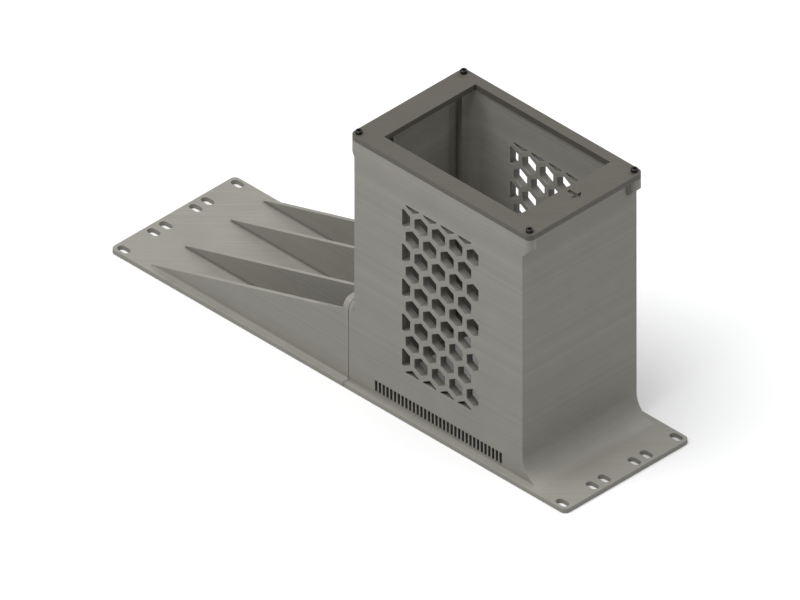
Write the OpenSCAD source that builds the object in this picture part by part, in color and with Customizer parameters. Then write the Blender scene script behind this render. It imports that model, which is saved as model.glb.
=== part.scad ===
// Rack mount bracket for a 19-inch rack: a printed panel in two screwed pieces,
// one with a deep sleeve that holds a desktop unit and one with a ribbed wing,
// and a frame that is screwed on the sleeve's rim to keep the unit in.
// The panel's front face lies at Z = 0, its middle is the origin, X runs across
// the rack, and the sleeve stands up along Z, towards the back of the rack.

/* [Rack panel] */
// Width of the panel across the rack
panel_w = 482.6; // [470:0.1:510]
// Rack units that the panel covers
units = 3; // [3:1:4]
// Height of one rack unit
unit_pitch = 44.45; // [44:0.05:46]
// Distance between the two outer screw places of one rack unit
hole_pitch = 31.75; // [28:0.05:34]
// Height that the panel gives up to clear its neighbours
panel_relief = 0.8; // [0:0.1:2]
// Thickness of the panel
panel_t = 4; // [3:0.5:6]
// Radius of the panel's corners
panel_r = 4.5; // [1:0.5:8]
// Distance from the panel's end to the middle of its rack slots
slot_inset = 8.75; // [8:0.05:12]
// Length of a rack slot
slot_l = 11.5; // [8:0.5:13]
// Width of a rack slot
slot_w = 6.6; // [5:0.1:7.5]

/* [Device sleeve] */
// Length of the bay along the panel
bay_l = 161.6; // [150:0.1:170]
// Width of the bay across the panel
bay_w = 108.2; // [100:0.1:111]
// Radius of the two rounded corners of the bay
bay_r = 11.5; // [5:0.5:14]
// Height of the sleeve's rim above the front face
sleeve_h = 225.4; // [205:0.1:260]
// Thickness of the two vented side walls
side_wall = 6.5; // [4.5:0.1:7]
// Thickness of the free end wall
end_wall = 6.5; // [4:0.1:9]
// Thickness of the wall that carries the joint to the wing
joint_wall = 10.4; // [8.4:0.1:13]
// Width of the lip that stops the device at the panel
lip_w = 2.5; // [1:0.5:6]
// Width of a groove for the device's feet
groove_w = 14; // [8:1:16]
// Depth of a groove for the device's feet
groove_d = 5.6; // [2:0.1:6]
// Distance from a side wall to the middle of the foot groove beside it
groove_inset = 17.7; // [17.5:0.1:28]
// Radius of the fillet between the free end wall and the panel
end_r = 20; // [8:1:24]
// Radius of the fillet along the foot of the side walls and outer ribs
foot_r = 2; // [1:0.1:2.5]

/* [Vents] */
// Distance between neighbouring vent hexagons
vent_pitch = 18.5; // [14:0.5:24]
// Width of the web between two hexagons
vent_web = 4.6; // [3:0.1:7]
// Length of the vent field along the panel
vent_l = 81; // [60:1:110]
// Height of the vent field
vent_h = 154; // [100:1:165]
// Height of the middle of the vent field above the front face
vent_z = 117.3; // [112:0.1:120]
// Length of the slotted strip beside the panel
strip_l = 137.5; // [80:0.5:140]
// Height of the slotted strip
strip_h = 10; // [6:0.5:14]
// Height of the slotted strip's lower edge above the panel
strip_rise = 3.2; // [3:0.1:6]
// Distance between neighbouring slots of the strip
strip_pitch = 4; // [3:0.5:8]
// Width of the bar between two slots of the strip
strip_web = 1.5; // [1:0.1:2]

/* [Ribbed wing] */
// Distance from the panel's middle to the seam between its two pieces
seam_x = 6; // [0:0.5:12]
// Thickness of the wing's upright plate
plate_t = 6; // [5:0.5:8]
// Thickness of the sleeve's pad behind that plate
pad_t = 6; // [4:0.5:8]
// Height of plate and pad above the front face
joint_h = 75.5; // [68:0.5:90]
// Radius of the upper corners of plate and pad
joint_r = 8.5; // [3:0.5:12]
// Thickness of a rib
rib_t = 3.2; // [2.4:0.1:5]
// Length of the ribs from the plate to their tips
rib_l = 202.5; // [160:0.5:215]
// Height of the ribs' upper ends above the front face
rib_h = 65.3; // [50:0.1:67]
// Height of the ribs' tips above the panel
rib_tip = 1.1; // [0.5:0.1:3]
// Distance of an inner rib from the middle
rib_y = 24.1; // [18:0.1:32]
// Radius of the fillet between plate and panel
root_r = 10; // [3:0.5:14]

/* [Ears and retaining frame] */
// Radius of an ear
ear_r = 5; // [4:0.5:7]
// Distance of the ears' screws outside the joint wall
ear_out_joint = 0; // [0:0.1:4]
// Distance of the ears' screws outside the free end wall
ear_out_free = 2.5; // [0:0.1:5]
// Height of an ear's upright part
ear_h = 9; // [8.5:0.1:20]
// Angle between an ear's sloping underside and the wall
ear_angle = 45; // [30:1:50]
// Thickness of the frame
frame_t = 5; // [3:0.5:6]
// Width of the frame's border over the wall on the -Y side
frame_low_side = 15.4; // [9:0.1:20]
// Width of the frame's border over the wall on the +Y side
frame_high_side = 9.1; // [9:0.1:20]
// Width of the frame's border at the joint wall
frame_joint_end = 21.5; // [17:0.1:30]
// Width of the frame's border at the free end wall
frame_free_end = 26.6; // [24:0.1:32]
// Length of the engraved arrow
arrow_l = 12.7; // [8:0.1:13]
// Distance from the frame's end to the arrow's tip
arrow_inset = 9.8; // [3:0.1:10]
// Width of the arrow's shaft
arrow_w = 3; // [1:0.5:4]
// Length of the arrow's head
arrow_head_l = 4.8; // [3:0.1:6]
// Width of the arrow's head
arrow_head_w = 11; // [6:0.5:12]
// Depth of the engraved arrow
arrow_depth = 2; // [0.6:0.1:2.4]
// Depth of the mark on the rim
mark_depth = 0.8; // [0.4:0.1:1.5]
// Width of the mark on the rim
mark_w = 5; // [3:0.5:8]

/* [Wing screws] */
// Thread diameter
m5_d = 5; // [4:0.5:5.5]
// Length of the thread under the head
m5_l = 12; // [10:0.5:12.5]
// Diameter of the head
m5_head_d = 8.5; // [8:0.1:9]
// Height of the head
m5_head_h = 5; // [4:0.5:6]
// Key size of the socket in the head
m5_key = 4; // [3:0.5:4.5]
// Outer diameter of the threaded insert
m5_insert_d = 7; // [6.5:0.1:8]
// Length of the threaded insert
m5_insert_l = 9.5; // [8:0.1:9.5]
// Distance of the outer screws from the plate's edge
screw_inset = 10.6; // [9.2:0.1:11]
// Height of the lower row of screws above the front face
screw_low_z = 33.2; // [28:0.1:36]
// Height of the upper row of screws above the front face
screw_high_z = 53.2; // [48:0.1:55]
// Depth of the counterbore under a head
counterbore = 3; // [1:0.5:3.5]

/* [Frame screws] */
// Thread diameter
m3_d = 3; // [2.5:0.5:3.5]
// Length of the thread under the head
m3_l = 10; // [9:0.5:10]
// Diameter of the head
m3_head_d = 5.5; // [5:0.1:6]
// Height of the head
m3_head_h = 3; // [2:0.5:3.5]
// Key size of the socket in the head
m3_key = 2.5; // [2:0.1:3]
// Outer diameter of the threaded insert
m3_insert_d = 4.6; // [4.4:0.1:5]
// Length of the threaded insert
m3_insert_l = 5.7; // [4:0.1:6]

/* [Fits] */
// Radial clearance between a thread or insert and what surrounds it
thread_gap = 0.1; // [0.05:0.05:0.15]
// Radial clearance of a screw in its through hole
hole_gap = 0.2; // [0.15:0.05:0.3]
// Radial clearance of a head in its counterbore
head_gap = 0.65; // [0.3:0.05:0.8]
// Free depth below a screw or insert in its pocket
end_gap = 0.5; // [0.3:0.1:1]

/* [Hidden] */
$fn = 48;

// Overlap by which one shape runs into another before they are joined or cut
over = 1;
PLASTIC = [0.52, 0.51, 0.48];
DARK_PLASTIC = [0.40, 0.39, 0.36];
STEEL = [0.16, 0.16, 0.17];
BRASS = [0.78, 0.63, 0.30];

panel_h = units * unit_pitch - panel_relief;
slot_x = panel_w / 2 - slot_inset;
slot_rows = [
    for (unit = [0:units - 1]) for (side = [-1, 1])
        (unit - (units - 1) / 2) * unit_pitch + side * hole_pitch / 2
];

sleeve_x0 = seam_x + pad_t;
bay_x0 = sleeve_x0 + joint_wall;
bay_x1 = bay_x0 + bay_l;
sleeve_x1 = bay_x1 + end_wall;
sleeve_w = bay_w + 2 * side_wall;
bay_mid = (bay_x0 + bay_x1) / 2;
groove_y = bay_w / 2 - groove_inset;

vent_mid = (sleeve_x0 + sleeve_x1) / 2;
vent_row = vent_pitch * sqrt(3) / 2;
vent_hex_r = (vent_pitch - vent_web) / sqrt(3);
vent_rows = ceil(vent_h / 2 / vent_row);
vent_columns = floor(vent_l / 2 / vent_pitch);
strip_count = floor((strip_l + strip_web) / strip_pitch);
strip_slot = strip_pitch - strip_web;

plate_x = seam_x - plate_t;
tip_x = plate_x - rib_l;
outer_rib_y = (sleeve_w - rib_t) / 2;
screw_y = sleeve_w / 2 - screw_inset;
wing_screw_spots = [
    for (z = [screw_low_z, screw_high_z]) for (y = [-screw_y, 0, screw_y]) [y, z]
];
m5_depth = max(m5_insert_l, m5_l - plate_t + counterbore) + end_gap;
m3_depth = max(m3_insert_l, m3_l - frame_t) + end_gap;

ear_y = sleeve_w / 2 - ear_r;
ear_x0 = sleeve_x0 - ear_out_joint;
ear_x1 = sleeve_x1 + ear_out_free;
ear_spots = [for (x = [ear_x0, ear_x1]) for (y = [-ear_y, ear_y]) [x, y]];
frame_x0 = ear_x0 - ear_r;
frame_x1 = ear_x1 + ear_r;
arrow_x = frame_x1 - arrow_inset - arrow_l / 2;
window_mid_y = (frame_low_side - frame_high_side) / 2;

// Rectangle in the plane with four rounded corners
module round_rect(x0, y0, x1, y1, r) {
    translate([x0 + r, y0])
        square([x1 - x0 - 2 * r, y1 - y0]);
    translate([x0, y0 + r])
        square([x1 - x0, y1 - y0 - 2 * r]);
    for (x = [x0 + r, x1 - r])
        for (y = [y0 + r, y1 - r])
            translate([x, y])
                circle(r);
}

// Extrudes a profile drawn with X and Z along Y, over the width w about the middle
module across(w) {
    translate([0, w / 2, 0])
        rotate([90, 0, 0])
            linear_extrude(w)
                children();
}

// Extrudes a profile drawn with Y and Z along X, from x0 to x1
module along(x0, x1) {
    translate([x0, 0, 0])
        rotate([90, 0, 90])
            linear_extrude(x1 - x0)
                children();
}

// Cuts a profile drawn with X and Z through the two side walls of the sleeve
module through_side_walls() {
    for (side = [-1, 1])
        translate([0, side * (sleeve_w - side_wall) / 2, 0])
            across(side_wall + 2 * over)
                children();
}

// Profile of a fillet in an inner corner at the plane's origin, open to +X and +Y
module fillet_profile(r) {
    difference() {
        translate([-over, -over])
            square(r + over);
        translate([r, r])
            circle(r);
    }
}

// Piece of the panel between two places across the rack
module panel_piece(x0, x1) {
    linear_extrude(panel_t)
        intersection() {
            round_rect(-panel_w / 2, -panel_h / 2, panel_w / 2, panel_h / 2, panel_r);
            translate([x0, -panel_h / 2])
                square([x1 - x0, panel_h]);
        }
}

// Column of rack slots at one end of the panel, as a cutter
module rack_slots(x) {
    for (y = slot_rows)
        translate([x, y, -over])
            linear_extrude(panel_t + 2 * over) {
                square([slot_l - slot_w, slot_w], center = true);
                for (end = [-1, 1])
                    translate([end * (slot_l - slot_w) / 2, 0])
                        circle(slot_w / 2);
            }
}

// Fillets along both long sides, at the foot of the walls or outer ribs
module foot_fillets(x0, x1) {
    for (side = [0, 1])
        mirror([0, side, 0])
            along(x0, x1)
                translate([sleeve_w / 2, panel_t])
                    fillet_profile(foot_r);
}

// Upright outline that plate and pad share, with rounded upper corners
module joint_outline() {
    translate([-sleeve_w / 2, 0])
        square([sleeve_w, joint_h - joint_r]);
    translate([-sleeve_w / 2 + joint_r, 0])
        square([sleeve_w - 2 * joint_r, joint_h]);
    for (side = [-1, 1])
        translate([side * (sleeve_w / 2 - joint_r), joint_h - joint_r])
            circle(joint_r);
}

// Plan of the bay, drawn in on every side by inset
module bay_plan(inset) {
    r = bay_r - inset;
    x0 = bay_x0 + inset;
    x1 = bay_x1 - inset;
    half = bay_w / 2 - inset;
    translate([x0, -half])
        square([x1 - x0, 2 * half - r]);
    translate([x0 + r, -half])
        square([x1 - x0 - 2 * r, 2 * half]);
    for (x = [x0 + r, x1 - r])
        translate([x, half - r])
            circle(r);
}

// Grooves that the feet of the device slide in, in the joint wall
module foot_grooves() {
    for (side = [-1, 1])
        translate([bay_x0 - groove_d, side * groove_y - groove_w / 2, panel_t])
            cube([groove_d + over, groove_w, sleeve_h]);
}

// Honeycomb of vent holes through both side walls, cut off straight at its border
module hex_vents() {
    through_side_walls()
        translate([0, vent_z])
            intersection() {
                translate([bay_mid, 0])
                    square([vent_l, vent_h], center = true);
                for (row = [-vent_rows:vent_rows]) {
                    shift = row % 2 == 0 ? 0 : 0.5;
                    for (column = [-vent_columns:vent_columns - 2 * shift])
                        translate([vent_mid + (column + shift) * vent_pitch, row * vent_row])
                            rotate(30)
                                circle(vent_hex_r, $fn = 6);
                }
            }
}

// Row of narrow upright slots through both side walls, close to the panel
module slotted_strip() {
    through_side_walls()
        for (i = [0:strip_count - 1])
            translate([
                vent_mid + (i - (strip_count - 1) / 2) * strip_pitch - strip_slot / 2,
                panel_t + strip_rise
            ])
                square([strip_slot, strip_h]);
}

// Foot of the free end wall: a wide fillet that also trims the side fillets
module end_foot() {
    difference() {
        union() {
            translate([sleeve_x1 - over, -sleeve_w / 2, 0])
                cube([end_r + over, sleeve_w, panel_t + end_r]);
            foot_fillets(sleeve_x1 - over, sleeve_x1 + end_r);
        }
        across(sleeve_w + 4 * foot_r)
            translate([sleeve_x1 + end_r, panel_t + end_r])
                circle(end_r, $fn = 96);
    }
}

// Ear outside the rim that carries one screw of the frame
module ear(x, y, side) {
    out = side > 0 ? ear_out_free : ear_out_joint;
    inner = out + over;
    reach = out + ear_r;
    taper = reach / tan(ear_angle);
    intersection() {
        translate([x, y, 0])
            linear_extrude(sleeve_h) {
                circle(ear_r);
                translate([side > 0 ? -inner : 0, -ear_r])
                    square([inner, 2 * ear_r]);
            }
        translate([x - side * out, y, sleeve_h - ear_h])
            mirror([side < 0 ? 1 : 0, 0, 0])
                across(4 * ear_r)
                    polygon([
                        [-over, -taper], [0, -taper], [reach, 0],
                        [reach, ear_h], [-over, ear_h]
                    ]);
    }
}

// Mark on the rim that the frame's arrow points to
module rim_mark() {
    translate([0, 0, sleeve_h - mark_depth])
        linear_extrude(mark_depth + over)
            polygon([
                [bay_x1 - over, -mark_w / 2], [sleeve_x1, 0], [bay_x1 - over, mark_w / 2]
            ]);
}

// Piece with the sleeve, the free end of the panel and the ears
module device_sleeve() {
    color(PLASTIC)
        difference() {
            union() {
                panel_piece(seam_x, panel_w / 2);
                translate([sleeve_x0, -sleeve_w / 2, 0])
                    cube([sleeve_x1 - sleeve_x0, sleeve_w, sleeve_h]);
                along(seam_x, sleeve_x0 + over)
                    joint_outline();
                foot_fillets(seam_x, sleeve_x1);
                end_foot();
                for (spot = ear_spots)
                    ear(spot[0], spot[1], spot[0] > bay_mid ? 1 : -1);
            }
            translate([0, 0, panel_t])
                linear_extrude(sleeve_h)
                    bay_plan(0);
            translate([0, 0, -over])
                linear_extrude(panel_t + 2 * over)
                    bay_plan(lip_w);
            foot_grooves();
            hex_vents();
            slotted_strip();
            rack_slots(slot_x);
            rim_mark();
            for (spot = wing_screw_spots)
                translate([seam_x, spot[0], spot[1]])
                    rotate([0, 90, 0])
                        pocket(m5_insert_d, m5_depth);
            for (spot = ear_spots)
                translate([spot[0], spot[1], sleeve_h])
                    rotate([180, 0, 0])
                        pocket(m3_insert_d, m3_depth);
        }
}

// Blind hole for a threaded insert, entered at its origin, going up
module pocket(d, depth) {
    translate([0, 0, -over])
        cylinder(h = depth + over, d = d + 2 * thread_gap);
}

// Plan of the four ribs, each with a round tip
module rib_plan() {
    for (y = [-outer_rib_y, -rib_y, rib_y, outer_rib_y]) {
        translate([tip_x + rib_t / 2, y])
            circle(rib_t / 2);
        translate([tip_x + rib_t / 2, y - rib_t / 2])
            square([rib_l - rib_t / 2 + over, rib_t]);
    }
}

// Ribs and side fillets, cut off by the slope that runs down to the tips
module ribs() {
    intersection() {
        union() {
            intersection() {
                linear_extrude(rib_h)
                    rib_plan();
                along(tip_x - over, seam_x)
                    joint_outline();
            }
            foot_fillets(tip_x + rib_t / 2, plate_x + over);
        }
        across(sleeve_w + 4 * foot_r)
            polygon([
                [tip_x, 0], [plate_x + over, 0], [plate_x + over, rib_h],
                [plate_x, rib_h], [tip_x, panel_t + rib_tip]
            ]);
    }
}

// Piece with the ribs and the other end of the panel
module ribbed_wing() {
    color(PLASTIC)
        difference() {
            union() {
                panel_piece(-panel_w / 2, seam_x);
                along(plate_x, seam_x)
                    joint_outline();
                foot_fillets(plate_x, seam_x);
                ribs();
                across(sleeve_w)
                    translate([plate_x, panel_t])
                        mirror([1, 0])
                            fillet_profile(root_r);
            }
            rack_slots(-slot_x);
            for (spot = wing_screw_spots)
                translate([plate_x, spot[0], spot[1]])
                    rotate([0, 90, 0]) {
                        translate([0, 0, -over])
                            cylinder(h = plate_t + 2 * over, d = m5_d + 2 * hole_gap);
                        translate([0, 0, -m5_head_h])
                            cylinder(h = counterbore + m5_head_h, d = m5_head_d + 2 * head_gap);
                    }
        }
}

// Generic arrow in the plane that points along X, centred on its length
module arrow() {
    neck = arrow_l / 2 - arrow_head_l;
    polygon([
        [-arrow_l / 2, -arrow_w / 2], [neck, -arrow_w / 2], [neck, -arrow_head_w / 2],
        [arrow_l / 2, 0], [neck, arrow_head_w / 2], [neck, arrow_w / 2], [-arrow_l / 2, arrow_w / 2]
    ]);
}

// Frame on the rim, with a window for the device's cables and air
module retaining_frame() {
    half = sleeve_w / 2;
    color(DARK_PLASTIC)
        translate([0, 0, sleeve_h])
            difference() {
                linear_extrude(frame_t)
                    round_rect(frame_x0, -half, frame_x1, half, ear_r);
                translate([frame_x0 + frame_joint_end, frame_low_side - half, -over])
                    cube([
                        frame_x1 - frame_x0 - frame_joint_end - frame_free_end,
                        sleeve_w - frame_low_side - frame_high_side,
                        frame_t + 2 * over
                    ]);
                translate([arrow_x, window_mid_y, frame_t - arrow_depth])
                    linear_extrude(arrow_depth + over)
                        arrow();
                for (spot = ear_spots)
                    translate([spot[0], spot[1], -over])
                        cylinder(h = frame_t + 2 * over, d = m3_d + 2 * hole_gap);
            }
}

// Cap screw with a hexagon socket: its head sits on Z = 0 and its thread goes down
module cap_screw(d, l, head_d, head_h, key) {
    edge = head_h / 10;
    point = d / 8;
    difference() {
        rotate_extrude()
            polygon([
                [0, -l], [d / 2 - point, -l], [d / 2, -l + point], [d / 2, 0],
                [head_d / 2, 0], [head_d / 2, head_h - edge],
                [head_d / 2 - edge, head_h], [0, head_h]
            ]);
        translate([0, 0, head_h / 2])
            cylinder(h = head_h, d = key / cos(30), $fn = 6);
    }
}

// Threaded insert: a slim nose and two bands with a waist between them, entered at Z = 0
module threaded_insert(d, l, thread_d) {
    slim_r = 0.42 * d;
    nose = l / 6;
    waist = l / 8;
    band = (l - nose - waist) / 2;
    edge = d / 20;
    difference() {
        rotate_extrude()
            polygon([
                [0, -l], [slim_r, -l], [slim_r, -l + nose], [d / 2, -l + nose],
                [d / 2, -band - waist], [slim_r, -band - waist], [slim_r, -band],
                [d / 2, -band], [d / 2, -edge], [d / 2 - edge, 0], [0, 0]
            ]);
        translate([0, 0, -l - over])
            cylinder(h = l + 2 * over, d = thread_d + 2 * thread_gap);
    }
}

// One of the six screws that clamp the wing to the sleeve
module wing_screw(i) {
    spot = wing_screw_spots[i];
    color(STEEL)
        translate([plate_x + counterbore, spot[0], spot[1]])
            rotate([0, -90, 0])
                cap_screw(m5_d, m5_l, m5_head_d, m5_head_h, m5_key);
}

// The insert in the sleeve's pad that one of these screws goes into
module wing_insert(i) {
    spot = wing_screw_spots[i];
    color(BRASS)
        translate([seam_x, spot[0], spot[1]])
            rotate([0, -90, 0])
                threaded_insert(m5_insert_d, m5_insert_l, m5_d);
}

// One of the four screws that hold the frame
module frame_screw(i) {
    spot = ear_spots[i];
    color(STEEL)
        translate([spot[0], spot[1], sleeve_h + frame_t])
            cap_screw(m3_d, m3_l, m3_head_d, m3_head_h, m3_key);
}

// The insert in the ear that one of these screws goes into
module frame_insert(i) {
    spot = ear_spots[i];
    color(BRASS)
        translate([spot[0], spot[1], sleeve_h])
            threaded_insert(m3_insert_d, m3_insert_l, m3_d);
}

device_sleeve();
ribbed_wing();
retaining_frame();
wing_screw(0);  // wing_screw_1
wing_screw(1);  // wing_screw_2
wing_screw(2);  // wing_screw_3
wing_screw(3);  // wing_screw_4
wing_screw(4);  // wing_screw_5
wing_screw(5);  // wing_screw_6
wing_insert(0);  // wing_insert_1
wing_insert(1);  // wing_insert_2
wing_insert(2);  // wing_insert_3
wing_insert(3);  // wing_insert_4
wing_insert(4);  // wing_insert_5
wing_insert(5);  // wing_insert_6
frame_screw(0);  // frame_screw_1
frame_screw(1);  // frame_screw_2
frame_screw(2);  // frame_screw_3
frame_screw(3);  // frame_screw_4
frame_insert(0);  // frame_insert_1
frame_insert(1);  // frame_insert_2
frame_insert(2);  // frame_insert_3
frame_insert(3);  // frame_insert_4
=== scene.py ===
import math

import bmesh
import bpy
from mathutils import Matrix, Vector


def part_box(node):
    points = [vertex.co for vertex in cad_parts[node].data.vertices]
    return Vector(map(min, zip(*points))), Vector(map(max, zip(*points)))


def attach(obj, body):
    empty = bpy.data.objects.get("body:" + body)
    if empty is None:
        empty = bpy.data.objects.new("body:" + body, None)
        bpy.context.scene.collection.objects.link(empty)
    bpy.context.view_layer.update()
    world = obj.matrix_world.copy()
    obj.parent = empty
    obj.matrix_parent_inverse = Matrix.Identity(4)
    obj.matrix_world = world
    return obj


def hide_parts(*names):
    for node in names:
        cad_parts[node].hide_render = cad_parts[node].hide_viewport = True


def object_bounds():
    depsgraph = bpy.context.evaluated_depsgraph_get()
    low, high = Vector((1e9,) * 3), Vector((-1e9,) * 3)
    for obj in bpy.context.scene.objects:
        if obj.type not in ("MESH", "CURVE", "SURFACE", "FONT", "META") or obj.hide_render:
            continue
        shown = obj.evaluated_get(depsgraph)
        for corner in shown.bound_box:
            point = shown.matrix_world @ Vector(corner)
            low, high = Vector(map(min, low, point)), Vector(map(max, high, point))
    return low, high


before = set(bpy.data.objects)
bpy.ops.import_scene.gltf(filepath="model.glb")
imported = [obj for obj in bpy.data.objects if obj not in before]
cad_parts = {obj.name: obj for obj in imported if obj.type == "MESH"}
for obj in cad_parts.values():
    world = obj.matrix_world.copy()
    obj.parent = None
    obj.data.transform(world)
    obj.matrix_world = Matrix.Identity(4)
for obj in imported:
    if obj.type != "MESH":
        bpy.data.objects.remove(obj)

cad_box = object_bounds()

MM = 0.001
BODY = "root"

# Printing: the height of a layer, and how far and how round the nozzle breaks an outer edge
LAYER = 0.28 * MM
EDGE_BREAK = 0.25 * MM
EDGE_STEPS = 2

# Edges to break: the sharp ones, apart from short ones with a hollow edge at both ends
EDGE_ANGLE = math.radians(35)
SHORT_EDGE = 1.5 * EDGE_BREAK
HOLLOW_ANGLE = math.radians(-0.5)

# Meshes: which points are one point, which faces are one flat, and which edges are shaded smooth
WELD = 0.002 * MM
FLAT_ANGLE = math.radians(0.4)
SMOOTH_ANGLE = math.radians(50)

# Where the holes of the panel, the frame and the joint are, and the slotted strip's middle, in mm
RACK_SLOTS_X = 232.55
FRAME_SCREWS_Y = 55.6
ARROW_Y = 3.15
LOW_JOINT_SCREWS_Z = 33.2
HIGH_JOINT_SCREWS_Z = 53.2
STRIP_Z = 12.2

# Vents, in mm: the middle of their field, the step from row to row, and how far from the field's middle
# the vents lie that its border cuts off
VENTS_Z = 117.3
VENT_ROW = 18.5 * math.sin(math.radians(60))
CUT_ROWS = 75

# Planes through the middles of the holes: the flats are cut there, so that none closes around a hole.
# In the sleeve, the lowest whole row of vents is level with the upper screws of the joint
HOLE_PLANES = {
    "device_sleeve": {
        "X": [RACK_SLOTS_X],
        "Y": [-FRAME_SCREWS_Y, 0, FRAME_SCREWS_Y],
        "Z": [STRIP_Z, LOW_JOINT_SCREWS_Z, VENTS_Z - CUT_ROWS, VENTS_Z + CUT_ROWS]
        + [VENTS_Z + VENT_ROW * row for row in range(-4, 5)],
    },
    "ribbed_wing": {"X": [-RACK_SLOTS_X], "Z": [LOW_JOINT_SCREWS_Z, HIGH_JOINT_SCREWS_Z]},
    "retaining_frame": {"Y": [-FRAME_SCREWS_Y, ARROW_Y, FRAME_SCREWS_Y]},
}

# The strip's first slot ends close beside the bay's round corner: that edge has no room for a break
TIGHT_EDGE = Vector((34, 54.1)) * MM
TIGHT_REACH = 10 * WELD

# Painted shade darkens recesses inside: the walls of the vents and slots, and the whole of the engraved
# arrow.
# Each box gives the limits of X, of Y without its sign, and of Z, in mm
PIERCED_WALLS = ((30, 176), (53, 62), (6.5, 195))
ENGRAVING = ((165.5, 183), (-1, 10.5), (228, 230.2))

# Where the wing meets the sleeve, and how far from there the joint's line of painted shade starts and ends
# to fade
SEAM = 6 * MM
SEAM_FADE = (0.15 * MM, 0.7 * MM)

# How far the painted shade of hollow corners and the wear and painted highlight of edges reach
CORNER_REACH = 3 * MM
WEAR_HIGHLIGHT_REACH = 0.9 * MM

# Tones of the printed plastic, as shares of its colour, with painted shade, and how much of an edge can be
# worn and painted lighter
STREAK_TONES = (0.93, 1.07)
MOTTLE_TONES = (0.97, 1.03)
CORNER_PAINTED_SHADE = 0.5
SEAM_PAINTED_SHADE = 0.35
RECESS_PAINTED_SHADE = 0.55
WORN_HIGHLIGHT_TONE = 1.5
WORN_HIGHLIGHT_SHARE = 0.3

# Cap screws: their sizes follow the standard for each thread
M5 = {
    "thread": 5 * MM, "length": 12 * MM, "pitch": 0.8 * MM,
    "head": 8.5 * MM, "rise": 5 * MM, "key": 4 * MM,
}
M3 = {
    "thread": 3 * MM, "length": 10 * MM, "pitch": 0.5 * MM,
    "head": 5.5 * MM, "rise": 3 * MM, "key": 2.5 * MM,
}
SCREW_SIDES = 48
THREAD_RINGS = 8

# A screw's fine forms: its thread's depth and run-out as shares of the pitch, its point of the core's
# radius, its edges of the head's height, its knurls of the head's radius, its socket's mouth of the socket
THREAD_DEPTH = 0.54
THREAD_FADE = 1.5
POINT = 0.8
HEAD_EDGE = 0.1
KNURL = 0.035
SOCKET_MOUTH = 1.03

# Colours, as linear light
GREY_PLASTIC = (0.250, 0.242, 0.212)
DARK_PLASTIC = (0.081, 0.075, 0.061)
BLACK_OXIDE = (0.032, 0.031, 0.030)
BRASS = (0.62, 0.42, 0.14)
FLOOR = (0.90, 0.90, 0.90)
FLOOR_BOUNCE = (0.40, 0.40, 0.40)
SKY = (0.98, 0.99, 1.0)
SKY_STRENGTH = 0.4

# Floor: its half width, and its gap under the panel
FLOOR_REACH = 6.0
FLOOR_GAP = 0.2 * MM

# Lamps: azimuth and elevation in degrees, side in metres, power in watts
LAMPS = {
    "key": (-15, 64, 1.6, 41),
    "end_fill": (95, 30, 1.2, 4),
    "back_fill": (180, 40, 1.6, 16),
}
LAMP_DISTANCE = 2.0
LAMP_TARGET = Vector((0, 0, 0.08))

# Camera: an isometric view without perspective, its middle raised above the origin
AZIMUTH = 45
ELEVATION = 35.264
VIEW_WIDTH = 0.6
VIEW_RISE = 0.0355
VIEW_DISTANCE = 2.5
VIEW_DEPTH = 20


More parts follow.
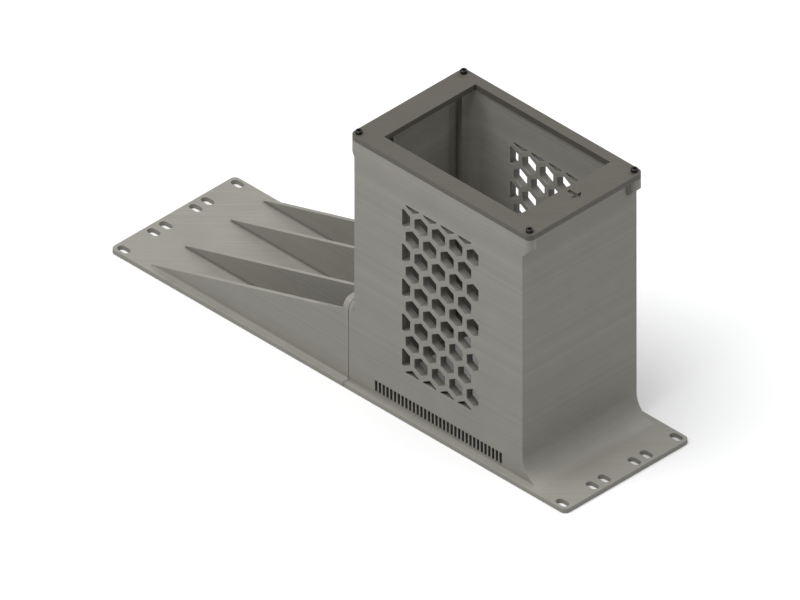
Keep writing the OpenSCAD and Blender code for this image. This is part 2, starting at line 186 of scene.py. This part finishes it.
class Shader:
    """A material under construction: it adds nodes and joins them to its Principled BSDF."""

    def __init__(self, name):
        self.material = bpy.data.materials.new(name)
        self.material.use_nodes = True
        self.nodes = self.material.node_tree.nodes
        self.links = self.material.node_tree.links
        self.surface = self.nodes["Principled BSDF"]

    def join(self, value, socket):
        """Links a socket, or sets a plain value."""
        if isinstance(value, bpy.types.NodeSocket):
            self.links.new(value, socket)
        else:
            socket.default_value = value

    def add(self, kind, settings=None, **values):
        """Adds a node; a value's key is its socket's name in lower case, with _ for spaces."""
        node = self.nodes.new(kind)
        for key, setting in (settings or {}).items():
            setattr(node, key, setting)
        for key, value in values.items():
            name = key.replace("_", " ")
            socket = next(s for s in node.inputs if s.name.lower() == name and s.enabled)
            self.join(value, socket)
        return node

    def set(self, **values):
        """Sets or links sockets of the Principled BSDF."""
        for key, value in values.items():
            name = key.replace("_", " ")
            socket = next(s for s in self.surface.inputs if s.name.lower() == name)
            self.join(value, socket)

    def math(self, operation, *values):
        """Adds a Math node and gives its result."""
        node = self.nodes.new("ShaderNodeMath")
        node.operation = operation
        for value, socket in zip(values, node.inputs):
            self.join(value, socket)
        return node.outputs[0]

    def product(self, first, *others):
        """Multiplies any number of values."""
        for other in others:
            first = self.math("MULTIPLY", first, other)
        return first

    def total(self, first, *others):
        """Adds up any number of values."""
        for other in others:
            first = self.math("ADD", first, other)
        return first

    def ramp(self, value, low, high, to_low=0.0, to_high=1.0):
        """Maps a number from one range to another and clamps it there."""
        node = self.add(
            "ShaderNodeMapRange", value=value,
            from_min=low, from_max=high, to_min=to_low, to_max=to_high,
        )
        return node.outputs["Result"]

    def inside(self, place, box):
        """Gives 1 where a place lies in a box, in mm, and 0 elsewhere."""
        within = 1.0
        for value, (low, high) in zip(place, box):
            above = self.math("GREATER_THAN", value, low * MM)
            below = self.math("LESS_THAN", value, high * MM)
            within = self.product(within, above, below)
        return within

    def mix(self, factor, first, second):
        """Mixes two colours: a Mix node has its colours at these places among its sockets."""
        node = self.nodes.new("ShaderNodeMix")
        node.data_type = "RGBA"
        self.join(factor, node.inputs[0])
        self.join(first, node.inputs[6])
        self.join(second, node.inputs[7])
        return node.outputs[2]

    def noise(self, place, scale, detail=4.0, roughness=0.55):
        """Adds a Noise texture over a place, or along one number, and gives its value, about 0.5."""
        along = place.type == "VALUE"
        node = self.add(
            "ShaderNodeTexNoise", {"noise_dimensions": "1D" if along else "3D"},
            scale=scale, detail=detail, roughness=roughness,
        )
        self.join(place, node.inputs["W" if along else "Vector"])
        return node.outputs[0]

    def stretched(self, vector, scale, turn=0.0):
        """Turns a vector about Z and scales its axes, which draws a noise out into streaks."""
        turned = self.add(
            "ShaderNodeVectorRotate", {"rotation_type": "Z_AXIS"}, vector=vector, angle=turn,
        )
        scaled = self.add("ShaderNodeVectorMath", {"operation": "MULTIPLY"})
        self.join(turned.outputs[0], scaled.inputs[0])
        scaled.inputs[1].default_value = scale
        return scaled.outputs[0]


def colour(rgb, factor=1.0):
    """Gives a colour with its alpha, made lighter or darker by a factor."""
    return tuple(channel * factor for channel in rgb) + (1.0,)


def painted_recess_shade(shader, place, sideways):
    """Gives 1 on the walls of the vents and slots and in the engraved arrow, where painted shade darkens
    them, and 0 elsewhere.
    """
    across, deep, height = place
    mirrored = (across, shader.math("ABSOLUTE", deep), height)
    turned_away = shader.ramp(shader.math("ABSOLUTE", sideways), 0.8, 0.3)
    hole_wall = shader.product(turned_away, shader.inside(mirrored, PIERCED_WALLS))
    return shader.math("MAXIMUM", hole_wall, shader.inside(mirrored, ENGRAVING))


def edge_wear_and_highlight(shader, mottle, openness):
    """Gives how much edges are lighter, as wear and as a painted highlight: most where an edge stands out,
    unevenly, and not in corners.
    """
    rounded = shader.add("ShaderNodeBevel", {"samples": 4}, radius=WEAR_HIGHLIGHT_REACH)
    flat = shader.add("ShaderNodeNewGeometry").outputs["Normal"]
    bend = shader.add("ShaderNodeVectorMath", {"operation": "DOT_PRODUCT"})
    shader.join(rounded.outputs[0], bend.inputs[0])
    shader.join(flat, bend.inputs[1])
    return shader.product(
        shader.ramp(bend.outputs["Value"], 0.995, 0.90, 0.0, WORN_HIGHLIGHT_SHARE),
        shader.ramp(mottle, 0.35, 0.6, 0.4, 1.0),
        shader.ramp(openness, 0.75, 0.95),
    )


def printed_plastic(name, rgb):
    """Matt filament print: level layers up the walls, raster lines on the flats, a grainy first layer;
    painted shade in hollows, and edges worn and painted lighter.
    """
    shader = Shader(name)
    coords = shader.add("ShaderNodeTexCoord").outputs
    place = coords["Object"]
    across, deep, height = shader.add("ShaderNodeSeparateXYZ", vector=place).outputs
    _, sideways, rise = shader.add("ShaderNodeSeparateXYZ", vector=coords["Normal"]).outputs
    upward = shader.ramp(rise, 0.992, 0.999)
    downward = shader.ramp(rise, -0.992, -0.999)
    wall = shader.math("SUBTRACT", 1.0, shader.math("MAXIMUM", upward, downward))

    bands = shader.noise(height, scale=70.0, detail=6.0, roughness=0.74)
    layers = shader.noise(height, scale=420.0, detail=3.0, roughness=0.6)
    ridges = shader.math("SINE", shader.product(height, math.tau / LAYER))
    lines = shader.stretched(place, (1100, 14, 400), turn=math.radians(45))
    raster = shader.noise(lines, scale=1.0, detail=3.0)
    grain = shader.noise(place, scale=2600.0, detail=3.0)
    mottle = shader.noise(place, scale=38.0, detail=3.0)
    corner = shader.add(
        "ShaderNodeAmbientOcclusion", {"samples": 6, "only_local": True}, distance=CORNER_REACH,
    )
    openness = corner.outputs["AO"]

    relief = shader.total(
        shader.product(layers, wall),
        shader.product(ridges, wall, 0.06),
        shader.product(raster, upward),
        shader.product(grain, downward),
    )
    bump = shader.add("ShaderNodeBump", strength=0.6, distance=0.25 * MM, height=relief)

    streaks = shader.total(
        shader.product(bands, wall),
        shader.product(raster, upward),
        shader.product(downward, 0.5),
    )
    from_seam = shader.math("ABSOLUTE", shader.math("SUBTRACT", across, SEAM))
    recess_shade_mask = painted_recess_shade(shader, (across, deep, height), sideways)
    tone = shader.product(
        shader.ramp(streaks, 0.3, 0.7, *STREAK_TONES),
        shader.ramp(mottle, 0.3, 0.7, *MOTTLE_TONES),
        # painted shade in hollow corners
        shader.ramp(openness, 0.55, 0.95, CORNER_PAINTED_SHADE, 1.0),
        # painted shade along the joint between wing and sleeve
        shader.ramp(from_seam, *SEAM_FADE, SEAM_PAINTED_SHADE, 1.0),
        # painted shade inside the vents, slots and arrow
        shader.ramp(recess_shade_mask, 0.0, 1.0, 1.0, RECESS_PAINTED_SHADE),
    )
    base = shader.add("ShaderNodeVectorMath", {"operation": "SCALE"}, scale=tone)
    base.inputs[0].default_value = rgb

    # edges lighter: wear, and a painted highlight where an edge would catch light
    worn_and_highlight = edge_wear_and_highlight(shader, mottle, openness)
    shader.set(
        base_color=shader.mix(worn_and_highlight, base.outputs[0], colour(rgb, WORN_HIGHLIGHT_TONE)),
        roughness=shader.ramp(layers, 0.3, 0.7, 0.46, 0.60),
        normal=bump.outputs[0],
        ior=1.46,
    )
    return shader.material


def black_oxide(name):
    """Blackened steel with a thin film of oil and bare, brighter patches."""
    shader = Shader(name)
    place = shader.add("ShaderNodeTexCoord").outputs["Object"]
    blotch = shader.noise(place, scale=900.0, detail=4.0)
    scratch = shader.noise(shader.stretched(place, (400, 5200, 400)), scale=1.0, detail=3.0)
    bare = shader.ramp(blotch, 0.58, 0.72)
    bump = shader.add("ShaderNodeBump", strength=0.3, distance=0.04 * MM, height=scratch)
    shader.set(
        base_color=shader.mix(bare, colour(BLACK_OXIDE), colour(BLACK_OXIDE, 3.0)),
        metallic=0.85,
        roughness=shader.ramp(blotch, 0.3, 0.7, 0.30, 0.46),
        normal=bump.outputs[0],
    )
    return shader.material


def turned_brass(name):
    """Bright brass with fine turning marks."""
    shader = Shader(name)
    place = shader.add("ShaderNodeTexCoord").outputs["Object"]
    tarnish = shader.noise(place, scale=700.0, detail=4.0)
    marks = shader.noise(shader.stretched(place, (300, 300, 9000)), scale=1.0, detail=2.0)
    dull = shader.ramp(tarnish, 0.35, 0.7)
    bump = shader.add("ShaderNodeBump", strength=0.3, distance=0.03 * MM, height=marks)
    shader.set(
        base_color=shader.mix(dull, colour(BRASS), colour(BRASS, 0.72)),
        metallic=1.0,
        roughness=shader.ramp(tarnish, 0.3, 0.7, 0.22, 0.38),
        normal=bump.outputs[0],
    )
    return shader.material


def pale_floor(name):
    """Matt studio floor: white where it is seen, and greyer in the light that it throws back."""
    shader = Shader(name)
    path = shader.add("ShaderNodeLightPath").outputs
    seen = shader.math("MAXIMUM", path["Is Camera Ray"], path["Is Glossy Ray"])
    seen = shader.math("MAXIMUM", seen, path["Is Transmission Ray"])
    shader.set(base_color=shader.mix(seen, colour(FLOOR_BOUNCE), colour(FLOOR)), roughness=0.9)
    return shader.material


def new_piece(name, bm, material):
    """Makes an object of a bmesh that is already in its place, and lets it ride on the part."""
    mesh = bpy.data.meshes.new(name)
    bm.to_mesh(mesh)
    bm.free()
    mesh.materials.append(material)
    mesh.shade_smooth()
    mesh.set_sharp_from_angle(angle=SMOOTH_ANGLE)
    piece = bpy.data.objects.new(name, mesh)
    bpy.context.scene.collection.objects.link(piece)
    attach(piece, BODY)
    return piece


def cut_flats(bm, planes):
    """Cuts a mesh along planes and marks the cuts as seams, which keeps them when flats are joined."""
    for axis, places in planes.items():
        normal = Vector([axis == letter for letter in "XYZ"])
        for place in places:
            cut = bmesh.ops.bisect_plane(
                bm, geom=bm.verts[:] + bm.edges[:] + bm.faces[:], dist=WELD,
                plane_co=normal * place * MM, plane_no=normal,
            )
            for item in cut["geom_cut"]:
                if isinstance(item, bmesh.types.BMEdge):
                    item.seam = True


def has_room(edge):
    """Tells whether an edge can be broken: not the tight one, nor the fine steps of a fillet's end."""
    if all((end.co.xy - TIGHT_EDGE).length < TIGHT_REACH for end in edge.verts):
        return False
    if edge.calc_length() >= SHORT_EDGE:
        return True
    return not all(
        any(other.calc_face_angle_signed(0) < HOLLOW_ANGLE for other in end.link_edges)
        for end in edge.verts
    )


def printed_piece(node, name, material):
    """Copies a printed piece and breaks its outer edges a little, as a nozzle rounds them."""
    bm = bmesh.new()
    bm.from_mesh(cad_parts[node].data)
    bmesh.ops.remove_doubles(bm, verts=bm.verts, dist=WELD)
    cut_flats(bm, HOLE_PLANES[node])
    bmesh.ops.dissolve_limit(
        bm, angle_limit=FLAT_ANGLE, verts=bm.verts, edges=bm.edges, delimit={"SEAM"},
    )
    edges = [
        edge for edge in bm.edges
        if edge.is_manifold and edge.is_convex and edge.calc_face_angle() > EDGE_ANGLE
        and has_room(edge)
    ]
    bmesh.ops.bevel(
        bm, geom=edges, offset=EDGE_BREAK, offset_type="OFFSET", affect="EDGES",
        segments=EDGE_STEPS, profile=0.5, material=-1, clamp_overlap=False, loop_slide=False,
    )
    piece = new_piece(name, bm, material)
    even = piece.modifiers.new("even_flats", "WEIGHTED_NORMAL")
    even.weight = 100
    even.keep_sharp = True
    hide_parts(node)


def hexagon(angle, across_flats):
    """Gives a hexagon's radius in a direction, so that a ring of points can take its outline."""
    sector = math.radians(60)
    return across_flats / 2 / math.cos(angle % sector - sector / 2)


def add_ring(bm, loop, reach, z):
    """Extrudes an open rim into the next ring: reach gives each point's radius by its angle."""
    grown = bmesh.ops.extrude_edge_only(bm, edges=loop)["geom"]
    points = [item for item in grown if isinstance(item, bmesh.types.BMVert)]
    for point in points:
        angle = math.atan2(point.co.y, point.co.x)
        radius = reach(angle)
        point.co = Vector((radius * math.cos(angle), radius * math.sin(angle), z))
    return [item for item in grown if isinstance(item, bmesh.types.BMEdge)]


def cap_screw_mesh(size):
    """A cap screw that stands on Z = 0 under its head: point, rolled thread, knurled head, hex socket."""
    radius = size["thread"] / 2
    length = size["length"]
    pitch = size["pitch"]
    depth = THREAD_DEPTH * pitch
    head = size["head"] / 2
    rise = size["rise"]
    key = size["key"]
    edge = HEAD_EDGE * rise
    knurl = head * KNURL
    mouth = key / 2 / math.cos(math.radians(30)) * SOCKET_MOUTH

    def turned(r):
        return lambda angle: r

    def threaded(z):
        fade = min(1.0, -z / (THREAD_FADE * pitch))

        def reach(angle):
            phase = (z / pitch - angle / math.tau) % 1.0
            return radius - depth * abs(2 * phase - 1) * fade
        return reach

    def knurled(angle):
        ridge = round(angle / math.tau * SCREW_SIDES) % 2
        return head - knurl * ridge

    def socket(angle):
        return hexagon(angle, key)

    # Each ring's outline and height: up the thread and the head, and down into the socket
    steps = int(length / pitch * THREAD_RINGS)
    levels = [-length * (1 - step / steps) for step in range(1, steps)]
    rings = [(threaded(z), z) for z in levels] + [
        (turned(radius), 0),
        (turned(head - edge), 0),
        (turned(head), edge),
        (knurled, edge * 2),
        (knurled, rise - edge * 2),
        (turned(head), rise - edge * 1.4),
        (turned(head - edge * 1.2), rise),
        (turned(mouth), rise),
        (socket, rise - edge * 0.5),
        (socket, rise / 2),
    ]

    bm = bmesh.new()
    point = (radius - depth) * POINT
    bmesh.ops.create_circle(bm, cap_ends=True, segments=SCREW_SIDES, radius=point)
    bmesh.ops.translate(bm, verts=bm.verts, vec=(0, 0, -length))
    loop = bm.edges[:]
    for reach, z in rings:
        loop = add_ring(bm, loop, reach, z)
    bottom = bmesh.ops.edgeloop_fill(bm, edges=loop)["faces"]
    bmesh.ops.poke(bm, faces=bottom, offset=-edge)
    bmesh.ops.recalc_face_normals(bm, faces=bm.faces)
    return bm


def cap_screw(node, name, size, turn, material):
    """Puts a screw where its node is: under its head's seat, turned so that the head points out."""
    low, high = (Vector(corner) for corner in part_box(node))
    bm = cap_screw_mesh(size)
    middle = (low + high) / 2
    outward = turn @ Vector((0, 0, 1))
    seat = middle + outward * (size["length"] - size["rise"]) / 2
    bmesh.ops.transform(bm, matrix=Matrix.Translation(seat) @ turn.to_4x4(), verts=bm.verts)
    piece = new_piece(name, bm, material)
    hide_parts(node)


def threaded_insert(node, material):
    """Finishes an insert, which is shown as its node has it."""
    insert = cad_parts[node]
    insert.data.materials.clear()
    insert.data.materials.append(material)
    for polygon in insert.data.polygons:
        polygon.material_index = 0


def make_bracket():
    """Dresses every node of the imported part."""
    grey = printed_plastic("grey_plastic", GREY_PLASTIC)
    dark = printed_plastic("dark_plastic", DARK_PLASTIC)
    steel = black_oxide("black_oxide")
    brass = turned_brass("turned_brass")
    printed_piece("device_sleeve", "printed_sleeve", grey)
    printed_piece("ribbed_wing", "printed_wing", grey)
    printed_piece("retaining_frame", "printed_frame", dark)
    towards_wing = Matrix.Rotation(math.radians(-90), 3, "Y")
    upright = Matrix.Identity(3)
    for i in range(1, 7):
        cap_screw(f"wing_screw_{i}", f"cap_screw_m5_{i}", M5, towards_wing, steel)
        threaded_insert(f"wing_insert_{i}", brass)
    for i in range(1, 5):
        cap_screw(f"frame_screw_{i}", f"cap_screw_m3_{i}", M3, upright, steel)
        threaded_insert(f"frame_insert_{i}", brass)


def make_floor():
    """Lays a wide floor just under the panel."""
    bm = bmesh.new()
    bmesh.ops.create_grid(bm, x_segments=1, y_segments=1, size=FLOOR_REACH)
    bmesh.ops.translate(bm, verts=bm.verts, vec=(0, 0, cad_box[0][2] - FLOOR_GAP))
    mesh = bpy.data.meshes.new("floor")
    bm.to_mesh(mesh)
    bm.free()
    mesh.materials.append(pale_floor("pale_floor"))
    floor = bpy.data.objects.new("floor", mesh)
    bpy.context.scene.collection.objects.link(floor)


def direction(azimuth, elevation):
    """Gives the way out from the part at an azimuth, 0 along -Y, and an elevation, in degrees."""
    a = math.radians(azimuth)
    e = math.radians(elevation)
    return Vector((math.sin(a) * math.cos(e), -math.cos(a) * math.cos(e), math.sin(e)))


def add_lamp(name, azimuth, elevation, size, power):
    """Hangs a square soft box out in a direction and aims it at the part."""
    data = bpy.data.lights.new(name, "AREA")
    data.shape = "SQUARE"
    data.size = size
    data.energy = power
    lamp = bpy.data.objects.new(name, data)
    out = direction(azimuth, elevation)
    lamp.location = out * LAMP_DISTANCE + LAMP_TARGET
    lamp.rotation_euler = (-out).to_track_quat("-Z", "Y").to_euler()
    bpy.context.scene.collection.objects.link(lamp)


def make_light():
    """Soft studio light: most from above, more on the long side than on the end."""
    for name, (azimuth, elevation, size, power) in LAMPS.items():
        add_lamp(name, azimuth, elevation, size, power)
    world = bpy.data.worlds.new("studio")
    bpy.context.scene.world = world
    world.use_nodes = True
    backdrop = world.node_tree.nodes["Background"]
    backdrop.inputs["Color"].default_value = colour(SKY)
    backdrop.inputs["Strength"].default_value = SKY_STRENGTH
    bpy.context.scene.view_settings.view_transform = "Standard"


def make_camera():
    """Looks down on the part from its open corner, without perspective."""
    data = bpy.data.cameras.new("camera")
    data.type = "ORTHO"
    data.ortho_scale = VIEW_WIDTH
    data.clip_end = VIEW_DEPTH
    camera = bpy.data.objects.new("camera", data)
    out = direction(AZIMUTH, ELEVATION)
    up = direction(AZIMUTH, ELEVATION + 90)
    camera.location = out * VIEW_DISTANCE + up * VIEW_RISE
    camera.rotation_euler = (math.radians(90 - ELEVATION), 0, math.radians(AZIMUTH))
    bpy.context.scene.collection.objects.link(camera)
    bpy.context.scene.camera = camera


make_bracket()
make_floor()
make_light()
make_camera()
